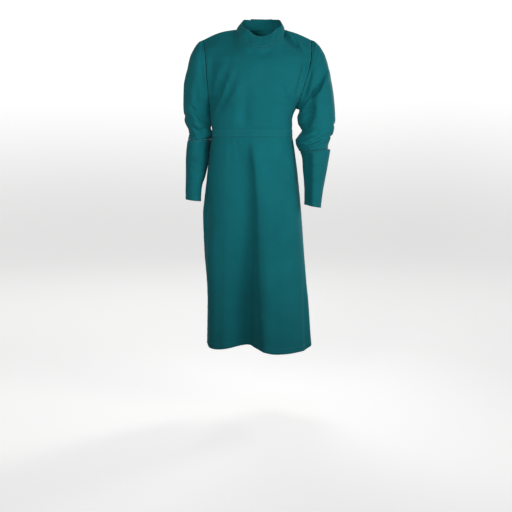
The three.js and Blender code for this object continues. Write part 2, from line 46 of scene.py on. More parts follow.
# camera at the photograph's angle, a little above the middle and looking slightly down
cameraSet = {"place": (-0.010, -4.0, -0.44), "downDegrees": 6.76, "lens": 68.75}
camera = bpy.data.objects.new("camera", bpy.data.cameras.new("camera"))
bpy.context.collection.objects.link(camera)
camera.location = cameraSet["place"]
camera.rotation_euler = (math.radians(90 - cameraSet["downDegrees"]), 0, 0)
camera.data.lens = cameraSet["lens"]
bpy.context.scene.camera = camera
bpy.context.scene.view_settings.view_transform = "Standard"

# soft studio light: a gridded lamp on the left sleeve's side, weaker ones in front and behind, and a broad
# one over the back
lightSet = {
    "key": {"place": (2.15, -1.6, -0.2), "aim": (0, 0, -0.4), "size": 1.8, "spread": 80, "watts": 10.6},
    "fill": {"place": (-0.9, -3.0, -0.2), "aim": (0, 0, -0.35), "size": 0.8, "spread": 46, "watts": 3.4},
    "behind": {"place": (1.9, 2.3, 0.5), "aim": (0, 0, -0.4), "size": 1.0, "spread": 60, "watts": 7.0},
    "over": {"place": (-0.6, 3.0, 2.4), "aim": (0, -0.6, -1.4), "size": 2.0, "spread": 180, "watts": 45},
}
for lightName, spec in lightSet.items():
    lamp = bpy.data.lights.new(lightName, "AREA")
    lamp.shape = "DISK"
    lamp.size = spec["size"]
    lamp.spread = math.radians(spec["spread"])
    lamp.energy = spec["watts"]
    lampObject = bpy.data.objects.new(lightName, lamp)
    bpy.context.collection.objects.link(lampObject)
    lampObject.location = spec["place"]
    aim = Vector(spec["aim"]) - Vector(spec["place"])
    lampObject.rotation_euler = aim.to_track_quat("-Z", "Y").to_euler()

worldSet = {"colour": (1.0, 1.0, 1.0, 1.0), "strength": 0.15}
world = bpy.data.worlds.new("studioWhite")
bpy.context.scene.world = world
world.use_nodes = True
background = world.node_tree.nodes["Background"]
background.inputs["Color"].default_value = worldSet["colour"]
background.inputs["Strength"].default_value = worldSet["strength"]
print("stage:", len(lightSet), "lamps")


# a shader node with its sockets' values and its own settings
def addNode(tree, kind, sockets=(), **settings):
    node = tree.nodes.new(kind)
    for key, value in settings.items():
        setattr(node, key, value)
    setSockets(node, sockets)
    return node


def setSockets(node, sockets):
    for name, value in dict(sockets).items():
        node.inputs[name].default_value = value


def newMaterial(name):
    material = bpy.data.materials.new(name)
    material.use_nodes = True
    return material, material.node_tree, material.node_tree.nodes["Principled BSDF"]


def setRamp(ramp, low, high):
    for stop, colour in zip(ramp.color_ramp.elements, (low, high)):
        stop.color = tuple(colour) + (1,)


# an object from a bmesh, shaded smooth, with one material
def addObject(name, bm, material):
    for face in bm.faces:
        face.smooth = True
    mesh = bpy.data.meshes.new(name)
    bm.to_mesh(mesh)
    mesh.materials.append(material)
    made = bpy.data.objects.new(name, mesh)
    bpy.context.collection.objects.link(made)
    return made


# round floor that sweeps up into a pale wall. It glows a little, more so up the wall, and throws nothing back
# onto the cloth.
floorSet = {
    "height": -1.56, "radius": 7.0, "wall": 7.0, "sweep": 2.0, "sides": 72, "sweepSteps": 16,
    "colour": (0.68, 0.68, 0.67), "shade": 0.985, "glowFloor": 0.60, "glowWall": 0.93,
}


def floorMaterial():
    material, tree, shader = newMaterial("paleFloor")
    setSockets(shader, {"Roughness": 0.9, "Specular IOR Level": 0.1, "Emission Color": (1, 1, 1, 1)})
    place = addNode(tree, "ShaderNodeTexCoord")
    cloud = addNode(tree, "ShaderNodeTexNoise", {"Scale": 0.6})
    ramp = addNode(tree, "ShaderNodeValToRGB")
    setRamp(ramp, [c * floorSet["shade"] for c in floorSet["colour"]], floorSet["colour"])
    tree.links.new(place.outputs["Object"], cloud.inputs["Vector"])
    tree.links.new(cloud.outputs["Fac"], ramp.inputs["Fac"])
    tree.links.new(ramp.outputs["Color"], shader.inputs["Base Color"])
    height = addNode(tree, "ShaderNodeSeparateXYZ")
    glow = addNode(tree, "ShaderNodeMapRange", {
        "From Min": floorSet["height"], "From Max": floorSet["height"] + floorSet["sweep"],
        "To Min": floorSet["glowFloor"], "To Max": floorSet["glowWall"],
    }, interpolation_type="SMOOTHSTEP")
    tree.links.new(place.outputs["Object"], height.inputs["Vector"])
    tree.links.new(height.outputs["Z"], glow.inputs["Value"])
    tree.links.new(glow.outputs["Result"], shader.inputs["Emission Strength"])
    return material


def paleFloor():
    bm = bmesh.new()
    bmesh.ops.create_circle(bm, cap_ends=True, segments=floorSet["sides"], radius=floorSet["radius"])
    bmesh.ops.translate(bm, verts=bm.verts, vec=(0, 0, floorSet["height"]))
    rimEdges = [e for e in bm.edges if e.is_boundary]
    raised = bmesh.ops.extrude_edge_only(bm, edges=rimEdges)["geom"]
    raised = [v for v in raised if isinstance(v, bmesh.types.BMVert)]
    bmesh.ops.translate(bm, verts=raised, vec=(0, 0, floorSet["wall"]))
    bmesh.ops.bevel(bm, geom=rimEdges, offset=floorSet["sweep"], affect="EDGES",
                    segments=floorSet["sweepSteps"], profile=0.5, material=-1)
    floor = addObject("floor", bm, floorMaterial())
    bm.free()
    floor.visible_diffuse = False
    floor.visible_shadow = False


paleFloor()

# green cotton: fresh and worn shades of one dye, and twill lines a little under a millimetre apart
clothFinish = {
    "drill": {
        "fresh": (0.0030, 0.124, 0.144), "worn": (0.0055, 0.154, 0.177), "twill": 0.0009, "lines": 0.35,
    },
    "doubleDrill": {
        "fresh": (0.0030, 0.121, 0.141), "worn": (0.0055, 0.151, 0.174), "twill": 0.0009, "lines": 0.35,
    },
    "tape": {
        "fresh": (0.0034, 0.126, 0.146), "worn": (0.0060, 0.157, 0.180), "twill": 0.0007, "lines": 0.3,
    },
}
# wave is the distance between a wave texture's bands at scale 1
twillSet = {"slant": 58, "wave": 0.314, "dark": (0.72, 0.72, 0.72), "light": (1.0, 1.0, 1.0)}


def clothMaterial(name, finish):
    material, tree, shader = newMaterial(name)
    link = tree.links.new
    setSockets(shader, {"Sheen Weight": 0.025, "Sheen Roughness": 0.45, "Specular IOR Level": 0.06})
    place = addNode(tree, "ShaderNodeTexCoord")
    # broad fading and small flecks in the dye
    fade = addNode(tree, "ShaderNodeTexNoise", {"Scale": 9.0, "Detail": 5.0})
    fleck = addNode(tree, "ShaderNodeTexNoise", {"Scale": 420.0, "Detail": 3.0})
    for cloud in (fade, fleck):
        link(place.outputs["Object"], cloud.inputs["Vector"])
    both = addNode(tree, "ShaderNodeMath", operation="ADD")
    link(fade.outputs["Fac"], both.inputs[0])
    half = addNode(tree, "ShaderNodeMath", operation="MULTIPLY")
    half.inputs[1].default_value = 0.55
    link(fleck.outputs["Fac"], half.inputs[0])
    link(half.outputs["Value"], both.inputs[1])
    dye = addNode(tree, "ShaderNodeValToRGB")
    dye.color_ramp.elements[0].position = 0.5
    dye.color_ramp.elements[1].position = 1.05
    setRamp(dye, finish["fresh"], finish["worn"])
    link(both.outputs["Value"], dye.inputs["Fac"])
    # twill: slanted lines on the piece's own grain
    grain = addNode(tree, "ShaderNodeMapping", {"Rotation": (0, 0, math.radians(twillSet["slant"]))})
    link(place.outputs["UV"], grain.inputs["Vector"])
    twill = addNode(tree, "ShaderNodeTexWave", {
        "Scale": twillSet["wave"] / finish["twill"], "Distortion": 0.6, "Detail": 1.0,
    }, wave_type="BANDS", bands_direction="X")
    link(grain.outputs["Vector"], twill.inputs["Vector"])
    shade = addNode(tree, "ShaderNodeMix", data_type="RGBA", blend_type="MULTIPLY")
    shade.inputs["Factor"].default_value = finish["lines"]
    lineRamp = addNode(tree, "ShaderNodeValToRGB")
    setRamp(lineRamp, twillSet["dark"], twillSet["light"])
    link(twill.outputs["Fac"], lineRamp.inputs["Fac"])
    link(dye.outputs["Color"], shade.inputs["A"])
    link(lineRamp.outputs["Color"], shade.inputs["B"])
    link(shade.outputs["Result"], shader.inputs["Base Color"])
    rough = addNode(tree, "ShaderNodeMapRange", {"To Min": 0.74, "To Max": 0.92})
    link(fade.outputs["Fac"], rough.inputs["Value"])
    link(rough.outputs["Result"], shader.inputs["Roughness"])
    # bump from small creases of wear, then from the twill
    crumple = addNode(tree, "ShaderNodeTexNoise", {"Scale": 55.0, "Detail": 4.0})
    link(place.outputs["Object"], crumple.inputs["Vector"])
    soft = addNode(tree, "ShaderNodeBump", {"Strength": 0.25, "Distance": 0.0016})
    link(crumple.outputs["Fac"], soft.inputs["Height"])
    raised = addNode(tree, "ShaderNodeBump", {"Strength": 0.3, "Distance": 0.0002})
    link(twill.outputs["Fac"], raised.inputs["Height"])
    link(soft.outputs["Normal"], raised.inputs["Normal"])
    link(raised.outputs["Normal"], shader.inputs["Normal"])
    return material


threadFinish = {"dark": (0.010, 0.150, 0.162), "light": (0.020, 0.195, 0.208)}


def threadMaterial():
    material, tree, shader = newMaterial("sewingThread")
    setSockets(shader, {"Roughness": 0.6, "Sheen Weight": 0.2})
    place = addNode(tree, "ShaderNodeTexCoord")
    cloud = addNode(tree, "ShaderNodeTexNoise", {"Scale": 900.0})
    ramp = addNode(tree, "ShaderNodeValToRGB")
    setRamp(ramp, threadFinish["dark"], threadFinish["light"])
    tree.links.new(place.outputs["Object"], cloud.inputs["Vector"])
    tree.links.new(cloud.outputs["Fac"], ramp.inputs["Fac"])
    tree.links.new(ramp.outputs["Color"], shader.inputs["Base Color"])
    return material


materials = {name: clothMaterial(name, finish) for name, finish in clothFinish.items()}
thread = threadMaterial()
print("materials:", ", ".join(materials))


# solids: points closer than merge are one, and wall edges are up to edge times as long as the wall is thick
solidSet = {"merge": 1e-5, "edge": 1.08, "middle": Vector((-0.01, 0, 0))}


# the outer face of a wall, as the grid of quads that it was made from
def outerFace(node, wall):
    bm = bmesh.new()
    bm.from_mesh(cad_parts[node].data)
    bmesh.ops.remove_doubles(bm, verts=bm.verts, dist=solidSet["merge"])
    thin = wall * solidSet["edge"]
    edgeFaces = [f for f in bm.faces if min(e.calc_length() for e in f.edges) < thin]
    bmesh.ops.delete(bm, geom=edgeFaces, context="FACES")
    low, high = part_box(node)
    tube = node.startswith(("sleeve", "cuff"))
    axis = (low + high) / 2 if tube else solidSet["middle"]
    left = set(bm.faces)
    inward = []
    while left:
        island = [left.pop()]
        for face in island:
            for edge in face.edges:
                for other in edge.link_faces:
                    if other in left:
                        left.remove(other)
                        island.append(other)
        flux = 0
        for face in island:
            away = face.calc_center_median() - axis
            flux += face.calc_area() * face.normal.dot(Vector((away.x, away.y, 0)))
        if flux < 0:
            inward += island
    bmesh.ops.delete(bm, geom=inward, context="FACES")
    joinDiagonals(bm)
    return bm


# every triangle has one edge along a row, one down a column and one diagonal, and so has its neighbour
def joinDiagonals(bm):
    def other(face, edge, vert):
        return next(e for e in face.edges if e is not edge and vert in e.verts)

    start = max(bm.faces, key=lambda f: sum(e.is_boundary for e in f.edges))
    kind = {}
    for number, edge in enumerate(sorted(start.edges, key=lambda e: not e.is_boundary)):
        kind[edge] = number
    waiting = [start]
    seen = {start}
    while waiting:
        face = waiting.pop()
        for edge in face.edges:
            a, b = edge.verts
            for nextFace in edge.link_faces:
                if nextFace not in seen:
                    kind[other(nextFace, edge, a)] = kind[other(face, edge, b)]
                    kind[other(nextFace, edge, b)] = kind[other(face, edge, a)]
                    seen.add(nextFace)
                    waiting.append(nextFace)
    boundaryKinds = {kind[e] for e in bm.edges if e.is_boundary}
    spare = {0, 1, 2} - boundaryKinds
    lengths = {k: sum(e.calc_length() for e in kind if kind[e] == k) for k in spare}
    diagonal = max(lengths, key=lengths.get)
    bmesh.ops.dissolve_edges(bm, edges=[e for e in kind if kind[e] == diagonal], use_verts=False)


# rounds of correction, and the share of the error that each takes away
refineSet = {"rounds": 4, "share": 0.9}


# cuts the edges that run down the piece, then smooths the whole grid, so that the smooth face still passes
# through the points of the first one
def refine(bm, cuts, level, name):
    if cuts:
        steep = max(bm.edges, key=lambda e: abs(e.verts[0].co.z - e.verts[1].co.z))
        rows = set()
        for edge in columnThrough(steep):
            rows |= ringOf(edge)
        bmesh.ops.subdivide_edges(bm, edges=list(rows), cuts=cuts, use_grid_fill=True)
    mesh = bpy.data.meshes.new(name + "Coarse")
    bm.to_mesh(mesh)
    bm.free()
    coarse = bpy.data.objects.new(name + "Coarse", mesh)
    bpy.context.collection.objects.link(coarse)
    smooth = coarse.modifiers.new("smooth", "SUBSURF")
    smooth.levels = smooth.render_levels = level
    smooth.boundary_smooth = "PRESERVE_CORNERS"
    wanted = [v.co.copy() for v in mesh.vertices]
    for _ in range(refineSet["rounds"]):
        bpy.context.view_layer.update()
        seen = coarse.evaluated_get(bpy.context.evaluated_depsgraph_get())
        reached = [v.co.copy() for v in seen.data.vertices[:len(wanted)]]
        for v, want, got in zip(mesh.vertices, wanted, reached):
            v.co += (want - got) * refineSet["share"]
        mesh.update()
    bpy.context.view_layer.update()
    seen = coarse.evaluated_get(bpy.context.evaluated_depsgraph_get())
    fine = bmesh.new()
    fine.from_mesh(seen.to_mesh())
    seen.to_mesh_clear()
    bpy.data.objects.remove(coarse)
    bpy.data.meshes.remove(mesh)
    fine.normal_update()
    return fine


# edges side by side across the quads, as an edge ring
def ringOf(edge):
    ring = {edge}
    waiting = [edge]
    while waiting:
        e = waiting.pop()
        for face in e.link_faces:
            for o in face.edges:
                if o not in ring and not set(o.verts) & set(e.verts):
                    ring.add(o)
                    waiting.append(o)
    return ring


# edges end to end, straight on through each crossing
def columnThrough(edge):
    line = [edge]
    for vert in edge.verts:
        e, v = edge, vert
        while e:
            faces = set(e.link_faces)
            e = next((o for o in v.link_edges if o is not e and not faces & set(o.link_faces)), None)
            if e is None or e in line:
                break
            line.append(e)
            v = e.other_vert(v)
    return line


# where points lie beside a path: the signed distance, plus on the path's left, and how far along it
def besidePath(spots, path):
    path = np.array(path)
    lengths = np.hypot(*(path[1:] - path[:-1]).T)
    best = np.full(len(spots), 1e9)
    offset = np.zeros(len(spots))
    along = np.zeros(len(spots))
    for k, length in enumerate(lengths):
        d = (path[k + 1] - path[k]) / length
        r = spots - path[k]
        t = np.clip(r @ d, 0, length)
        near = r - t[:, None] * d
        gap = np.hypot(near[:, 0], near[:, 1])
        side = np.where(d[0] * near[:, 1] - d[1] * near[:, 0] < 0, -1, 1)
        closer = gap < best
        best[closer] = gap[closer]
        offset[closer] = (gap * side)[closer]
        along[closer] = (lengths[:k].sum() + t)[closer]
    return offset, along, lengths.sum()


# a crease fades at its ends and where its cloth turns away from the side it is on. A lip's place and width go
# by the width on the crease's right.
creaseSet = {"fade": (0.3, 0.3), "turn": 0.02, "turnFade": 0.3, "lipPlace": 1.9, "lipWidth": 1.2}


# creases: path in metres across (x, or y on a side) and up. depth is along the cloth's outward side, left and
# right are the widths on either hand of the path, lip a ridge beside it on its right.
def creaseDepth(points, normals, creases):
    total = np.zeros(len(points))
    for c in creases:
        across, face = (1, 0) if c.get("plane") == "side" else (0, 1)
        offset, along, whole = besidePath(points[:, [across, 2]], c["path"])
        fadeIn, fadeOut = c.get("fade", creaseSet["fade"])
        grown = ramp01(along / (fadeIn * whole)) * ramp01((whole - along) / (fadeOut * whole))
        facing = ramp01((normals[:, face] * c.get("facing", -1) - creaseSet["turn"]) / creaseSet["turnFade"])
        width = np.where(offset > 0, c["left"], c["right"])
        shape = c["depth"] * np.exp(-((offset / width) ** 2))
        if "lip" in c:
            place, width = creaseSet["lipPlace"] * c["right"], creaseSet["lipWidth"] * c["right"]
            shape = shape + c["lip"] * np.exp(-(((offset + place) / width) ** 2))
        total += shape * grown * facing
    return total


# smaller faces along the sharpest creases
def refineNear(bm, creases):
    for c in creases:
        for reach in c.get("fine", []):
            bm.normal_update()
            bm.verts.ensure_lookup_table()
            points = np.array([v.co for v in bm.verts])
            offset = besidePath(points[:, [0, 2]], c["path"])[0]
            facing = np.array([v.normal.y for v in bm.verts]) * c.get("facing", -1)
            near = (abs(offset) < reach) & (facing > 0)
            bm.verts.index_update()
            edges = [e for e in bm.edges if near[e.verts[0].index] and near[e.verts[1].index]]
            bmesh.ops.subdivide_edges(bm, edges=edges, cuts=1, use_grid_fill=True, smooth=0)
    bm.normal_update()


def ramp01(x):
    x = np.clip(x, 0, 1)
    return x * x * (3 - 2 * x)


# slack: soft unevenness of cloth that hangs, by its size, height and seed, longer down the cloth than across
slackLength = 2.6


def slackDepth(points, slack):
    total = np.zeros(len(points))
    for size, height, seed in slack:
        spots = points / np.array([size, size, size * slackLength]) + seed
        total += height * np.array([noise.noise(Vector(p)) for p in spots])
    return total


farAway = 9.0  # gap in metres where no edge passes the test


# distance of each point from the piece's edges that pass the test
def edgeGap(bm, points, isEdge):
    edge = [v for v in bm.verts if v.is_boundary and isEdge(v)]
    if not edge:
        return np.full(len(points), farAway)
    tree = kdtree.KDTree(len(edge))
    for i, v in enumerate(edge):
        tree.insert(v.co, i)
    tree.balance()
    return np.array([tree.find(p)[2] for p in points])


# lines that run beside an edge of the piece, inside it, as points with their outward sides
def sewnLines(bm, isEdge, inset):
    links = {}
    for e in bm.edges:
        if e.is_boundary and all(isEdge(v) for v in e.verts):
            for v in e.verts:
                links.setdefault(v, []).append(e)
    unseen = dict.fromkeys(links)
    lines = []
    while unseen:
        at = next((v for v in unseen if len(links[v]) == 1), None) or next(iter(unseen))
        run = []
        while at is not None:
            unseen.pop(at)
            run.append(at)
            at = next((e.other_vert(at) for e in links[at] if e.other_vert(at) in unseen), None)
        lines.append([spot for spot in (walkIn(v, inset) for v in run) if spot])
    return [line for line in lines if len(line) > 2]


def walkIn(at, inset):
    e = next((e for e in at.link_edges if not e.is_boundary), None)
    while e is not None:
        onward = e.other_vert(at)
        length = e.calc_length()
        if length >= inset:
            t = inset / length
            return at.co.lerp(onward.co, t), at.normal.lerp(onward.normal, t).normalized()
        inset -= length
        faces = set(e.link_faces)
        e = next((o for o in onward.link_edges if o is not e and not faces & set(o.link_faces)), None)
        at = onward
    return None


# which edge a point is on, by its place and by which way the cloth goes from it
edgeSet = {
    "step": 0.002, "rise": 0.001, "hemTop": -1.2, "wristTop": -0.6,
    "lapLeft": 0.0, "lapRight": -0.02, "lapFront": 0.05, "lapTop": -0.004,
}


def goesUp(v):
    inside = walkIn(v, edgeSet["step"])
    return inside is not None and inside[0].z > v.co.z + edgeSet["rise"]


def isHem(v):
    return v.co.z < edgeSet["hemTop"] and goesUp(v)


def isWrist(v):
    return v.co.z < edgeSet["wristTop"]


def isElbow(v):
    return v.co.z > edgeSet["wristTop"]


def isBehind(v):
    return v.co.y > edgeSet["lapFront"] and v.co.z < edgeSet["lapTop"]


def isLeftLap(v):
    return v.co.x < edgeSet["lapLeft"] and isBehind(v)


def isRightLap(v):
    return v.co.x > edgeSet["lapRight"] and isBehind(v)


def isAnyEdge(v):
    return True


# one rounded stitch after another along a line
stitchSet = {
    "pitch": 0.0034, "length": 0.0025, "radius": 0.00045, "flat": 0.8, "lift": 0.00012, "aim": 0.001,
}


def between(s, far, values):
    return Vector([np.interp(s, far, values[:, k]) for k in range(3)])


def addStitches(bm, line):
    points = np.array([p for p, n in line])
    sides = np.array([n for p, n in line])
    far = np.concatenate([[0], np.cumsum(np.linalg.norm(points[1:] - points[:-1], axis=1))])
    for s in np.arange(stitchSet["pitch"] / 2, far[-1], stitchSet["pitch"]):
        place = between(s, far, points)
        ahead = between(s + stitchSet["aim"], far, points)
        behind = between(s - stitchSet["aim"], far, points)
        along = (ahead - behind).normalized()
        up = between(s, far, sides).normalized()
        across = up.cross(along).normalized()
        turn = Matrix((along, across, along.cross(across))).transposed().to_4x4()
        radius = stitchSet["radius"]
        size = Matrix.Diagonal((stitchSet["length"] / 2, radius, radius * stitchSet["flat"], 1))
        spot = Matrix.Translation(place + up * stitchSet["lift"])
        bmesh.ops.create_icosphere(bm, subdivisions=1, radius=1, matrix=spot @ turn @ size)


# share of a calm zone, where cloth lies flat under a band or a tie
def calmShare(points, zone):
    share = np.ones(len(points))
    for axis, name in ((0, "x"), (2, "z")):
        low, high = zone[name]
        share *= (ramp01(1 + (points[:, axis] - low) / zone["fade"])
                  * ramp01(1 + (high - points[:, axis]) / zone["fade"]))
    return share


# how sharply a hem ends, how fine its ripple and the seams' pucker are, and the last smoothing
shapeSet = {
    "hemStep": 0.0025, "hemGroove": 0.0028, "rippleScale": 60.0, "rippleReach": 1.8, "puckerScale": 95.0,
    "smooth": 0.35,
}


def unevenness(points, scale):
    return np.array([noise.noise(Vector(p) * scale) for p in points])


# moves the points of a piece along its outward side. Sewn edges stay where they meet the next piece, and the
# cloth puffs and puckers a little beside them.
def shapeCloth(bm, spec, stitches):
    bm.verts.ensure_lookup_table()
    points = np.array([v.co for v in bm.verts])
    normals = np.array([v.normal for v in bm.verts])
    seam = spec["seam"]
    isFree = spec.get("isFree", lambda v: False)
    gap = edgeGap(bm, points, lambda v: not isFree(v))
    depth = creaseDepth(points, normals, spec.get("creases", []))
    depth += slackDepth(points, spec.get("slack", []))
    for hem in spec.get("hems", []):
        rise = edgeGap(bm, points, hem["isEdge"])
        depth += hem["height"] * (1 - ramp01((rise - hem["width"]) / shapeSet["hemStep"]))
        depth -= hem["sink"] * np.exp(-(((rise - hem["width"]) / shapeSet["hemGroove"]) ** 2))
        ripple = unevenness(points, shapeSet["rippleScale"])
        depth += hem["ripple"] * ripple * np.exp(-((rise / (shapeSet["rippleReach"] * hem["width"])) ** 2))
    depth *= ramp01(gap / seam["hold"])
    for zone in spec.get("calm", []):
        under = calmShare(points, zone)
        depth = depth * (1 - under) - zone["press"] * under
    pucker = unevenness(points, shapeSet["puckerScale"])
    near = gap / seam["width"] * np.exp(1 - gap / seam["width"])
    depth += (seam["puff"] + seam["pucker"] * pucker) * near
    for v, p in zip(bm.verts, points + normals * depth[:, None]):
        v.co = p
    inner = [v for v in bm.verts if not v.is_boundary]
    bmesh.ops.smooth_vert(bm, verts=inner, factor=shapeSet["smooth"],
                          use_axis_x=True, use_axis_y=True, use_axis_z=True)
    bm.normal_update()
    for sewing in spec.get("sewing", []):
        for line in sewnLines(bm, sewing["isEdge"], sewing["inset"]):
            addStitches(stitches, line)
    # seam allowance, turned in, and leaning so that it closes the seam
    sewn = [e for e in bm.edges if e.is_boundary and not any(isFree(v) for v in e.verts)]
    if sewn and seam.get("allowance"):
        turned = bmesh.ops.extrude_edge_only(bm, edges=sewn)["geom"]
        turned = {v for v in turned if isinstance(v, bmesh.types.BMVert)}
        for v in turned:
            beside = next(e.other_vert(v) for e in v.link_edges if e.other_vert(v) not in turned)
            v.co += Vector(seam.get("lean", (0, 0, 0))) - beside.normal * seam["allowance"]
        bm.normal_update()


# grain of the cloth as a UV map in metres: round the piece's axis and down it
def grainMap(bm, axis):
    top, bottom = Vector(axis[0]), Vector(axis[1])
    down = (bottom - top).normalized()
    side = down.cross(Vector((0, 1, 0))).normalized()
    ahead = side.cross(down)
    layer = bm.loops.layers.uv.new("grain")
    for face in bm.faces:
        turns = []
        for loop in face.loops:
            r = loop.vert.co - top
            turns.append(math.atan2(r.dot(side), -r.dot(ahead)))
        if max(turns) - min(turns) > math.pi:
            turns = [t + 2 * math.pi if t < 0 else t for t in turns]
        for loop, turn in zip(face.loops, turns):
            loop[layer].uv = (turn * axis[2], -(loop.vert.co - top).dot(down))


def addCloth(name, bm, node, finish, thickness):
    piece = addObject(name, bm, materials[finish])
    wall = piece.modifiers.new("wall", "SOLIDIFY")
    wall.thickness = thickness
    wall.offset = -1
    wall.use_quality_normals = True
    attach(piece, "root")
    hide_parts(node)
    print("cloth:", name, len(piece.data.polygons), "faces")


def addThread(name, bm):
    sewing = addObject(name + "Thread", bm, thread)
    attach(sewing, "root")


def makeCloth(name, node, spec, finish):
    bm = refine(outerFace(node, spec["wall"]), spec["cuts"], spec["level"], name)
    refineNear(bm, spec.get("creases", []))
    stitches = bmesh.new()
    shapeCloth(bm, spec, stitches)
    grainMap(bm, spec["axis"])
    addCloth(name, bm, node, finish, spec["thickness"])
    if stitches.verts:
        addThread(name, stitches)
    stitches.free()
    bm.free()


# wall of the solid, cuts and levels that refine it, and thickness of the cloth
singleCloth = {"wall": 0.0016, "cuts": 1, "level": 2, "thickness": 0.0012}
doubleCloth = {"wall": 0.0024, "cuts": 1, "level": 2, "thickness": 0.0018}
tapeCloth = {"wall": 0.0012, "cuts": 1, "level": 2, "thickness": 0.0009}
bodyAxis = ((-0.01, 0, 0), (-0.01, 0, -1), 0.17)  # top, bottom and radius that the grain runs round
bottomHem = {"isEdge": isHem, "width": 0.022, "height": 0.0006, "sink": 0.0009, "ripple": 0.0012}
bottomSewing = {"isEdge": isHem, "inset": bottomHem["width"]}
underBand = {"x": (-0.4, 0.4), "z": (-0.429, -0.395), "fade": 0.012, "press": 0.0008}

# front panel
frontPanel = {
    **singleCloth,
    "axis": bodyAxis,
    "seam": {"hold": 0.012, "width": 0.005, "puff": 0.0016, "pucker": 0.0008, "allowance": 0.004},
    "slack": [(0.11, 0.0024, 3.1), (0.045, 0.0008, 8.7)],
    "isFree": isHem,
    "sewing": [{"isEdge": lambda v: not isHem(v), "inset": 0.006}, bottomSewing],
    "calm": [underBand],
    "hems": [bottomHem],
    "creases": [
        # hollow beside the right armhole, and slack that runs from it across the chest
        {"path": [(-0.182, -0.080), (-0.188, -0.170), (-0.192, -0.250), (-0.200, -0.340)],
         "depth": -0.0070, "left": 0.024, "right": 0.012},
        {"path": [(-0.134, -0.150), (-0.161, -0.235), (-0.187, -0.296), (-0.202, -0.350)],
         "depth": -0.0065, "left": 0.014, "right": 0.016, "fade": (0.5, 0.3)},
        {"path": [(-0.080, -0.155), (-0.115, -0.243), (-0.152, -0.312), (-0.180, -0.376)],
         "depth": -0.0060, "left": 0.019, "right": 0.024, "fade": (0.5, 0.3)},
        {"path": [(-0.052, -0.205), (-0.057, -0.302), (-0.053, -0.400)],
         "depth": -0.0042, "left": 0.020, "right": 0.030, "fade": (0.5, 0.1)},
        # from the left armhole
        {"path": [(0.082, -0.205), (0.108, -0.266), (0.130, -0.318)],
         "depth": -0.0045, "left": 0.010, "right": 0.014},
        {"path": [(0.110, -0.160), (0.136, -0.232), (0.150, -0.296)],
         "depth": -0.0030, "left": 0.012, "right": 0.014},
        {"path": [(0.200, -0.100), (0.183, -0.160), (0.165, -0.225), (0.150, -0.285)],
         "depth": -0.0050, "left": 0.010, "right": 0.014},
        # tucks that run off the collar on the left shoulder, each with its upper side folded over
        {"path": [(0.168, -0.094), (0.153, -0.066), (0.125, -0.037), (0.098, -0.004)], "fine": (0.030, 0.015),
         "depth": -0.0150, "left": 0.0110, "right": 0.0050, "lip": 0.0050, "fade": (0.5, 0.10)},
        {"path": [(0.182, -0.120), (0.170, -0.083), (0.151, -0.052), (0.128, -0.022)], "fine": (0.013,),
         "depth": -0.0060, "left": 0.0060, "right": 0.0045, "lip": 0.0025, "fade": (0.6, 0.2)},
        # slack below the collar
        {"path": [(-0.052, -0.084), (0.008, -0.106), (0.066, -0.088)],
         "depth": -0.0075, "left": 0.012, "right": 0.018},
        {"path": [(0.039, -0.119), (0.015, -0.206), (0.000, -0.300)],
         "depth": -0.0020, "left": 0.022, "right": 0.026},
        # small gathers under the waist band
        {"path": [(-0.118, -0.424), (-0.115, -0.476)],
         "depth": -0.0016, "left": 0.006, "right": 0.008, "fade": (0.05, 0.8)},
        {"path": [(-0.088, -0.424), (-0.083, -0.512)],
         "depth": -0.0022, "left": 0.006, "right": 0.009, "fade": (0.05, 0.8)},
        {"path": [(-0.060, -0.424), (-0.057, -0.470)],
         "depth": -0.0018, "left": 0.005, "right": 0.006, "fade": (0.05, 0.8)},
        {"path": [(0.034, -0.424), (0.040, -0.482)],
         "depth": -0.0012, "left": 0.006, "right": 0.007, "fade": (0.05, 0.8)},
        {"path": [(0.078, -0.424), (0.088, -0.500)],
         "depth": -0.0014, "left": 0.006, "right": 0.010, "fade": (0.05, 0.8)},
        # the deep fold down the skirt: a trough, and a crest close beside it on the left sleeve's side
        {"path": [(-0.046, -0.425), (-0.036, -0.537), (-0.031, -0.675),
                  (-0.036, -0.876), (-0.042, -1.081), (-0.046, -1.310)],
         "depth": -0.0165, "left": 0.014, "right": 0.055, "fade": (0.10, 0.01)},
        {"path": [(-0.034, -0.430), (-0.012, -0.557), (-0.002, -0.675),
                  (0.004, -0.874), (0.012, -1.075), (0.026, -1.310)],
         "depth": 0.0090, "left": 0.050, "right": 0.010, "fade": (0.12, 0.01)},
        # along the side seams
        {"path": [(0.171, -0.860), (0.172, -1.083), (0.178, -1.310)],
         "depth": 0.0034, "left": 0.007, "right": 0.012, "fade": (0.4, 0.01)},
        {"path": [(-0.196, -0.630), (-0.199, -0.767), (-0.198, -0.910)],
         "depth": -0.0070, "left": 0.009, "right": 0.008},
        # long soft folds of the skirt
        {"path": [(-0.148, -0.690), (-0.153, -0.958), (-0.166, -1.310)],
         "depth": -0.0040, "left": 0.018, "right": 0.026, "fade": (0.4, 0.01)},
        {"path": [(-0.098, -0.520), (-0.107, -0.796), (-0.126, -1.180)],
         "depth": -0.0026, "left": 0.018, "right": 0.022},
        {"path": [(0.084, -0.600), (0.096, -0.954), (0.114, -1.310)],
         "depth": 0.0034, "left": 0.026, "right": 0.030, "fade": (0.4, 0.01)},
    ],
}
makeCloth("frontPanel", "front_panel", frontPanel, "drill")

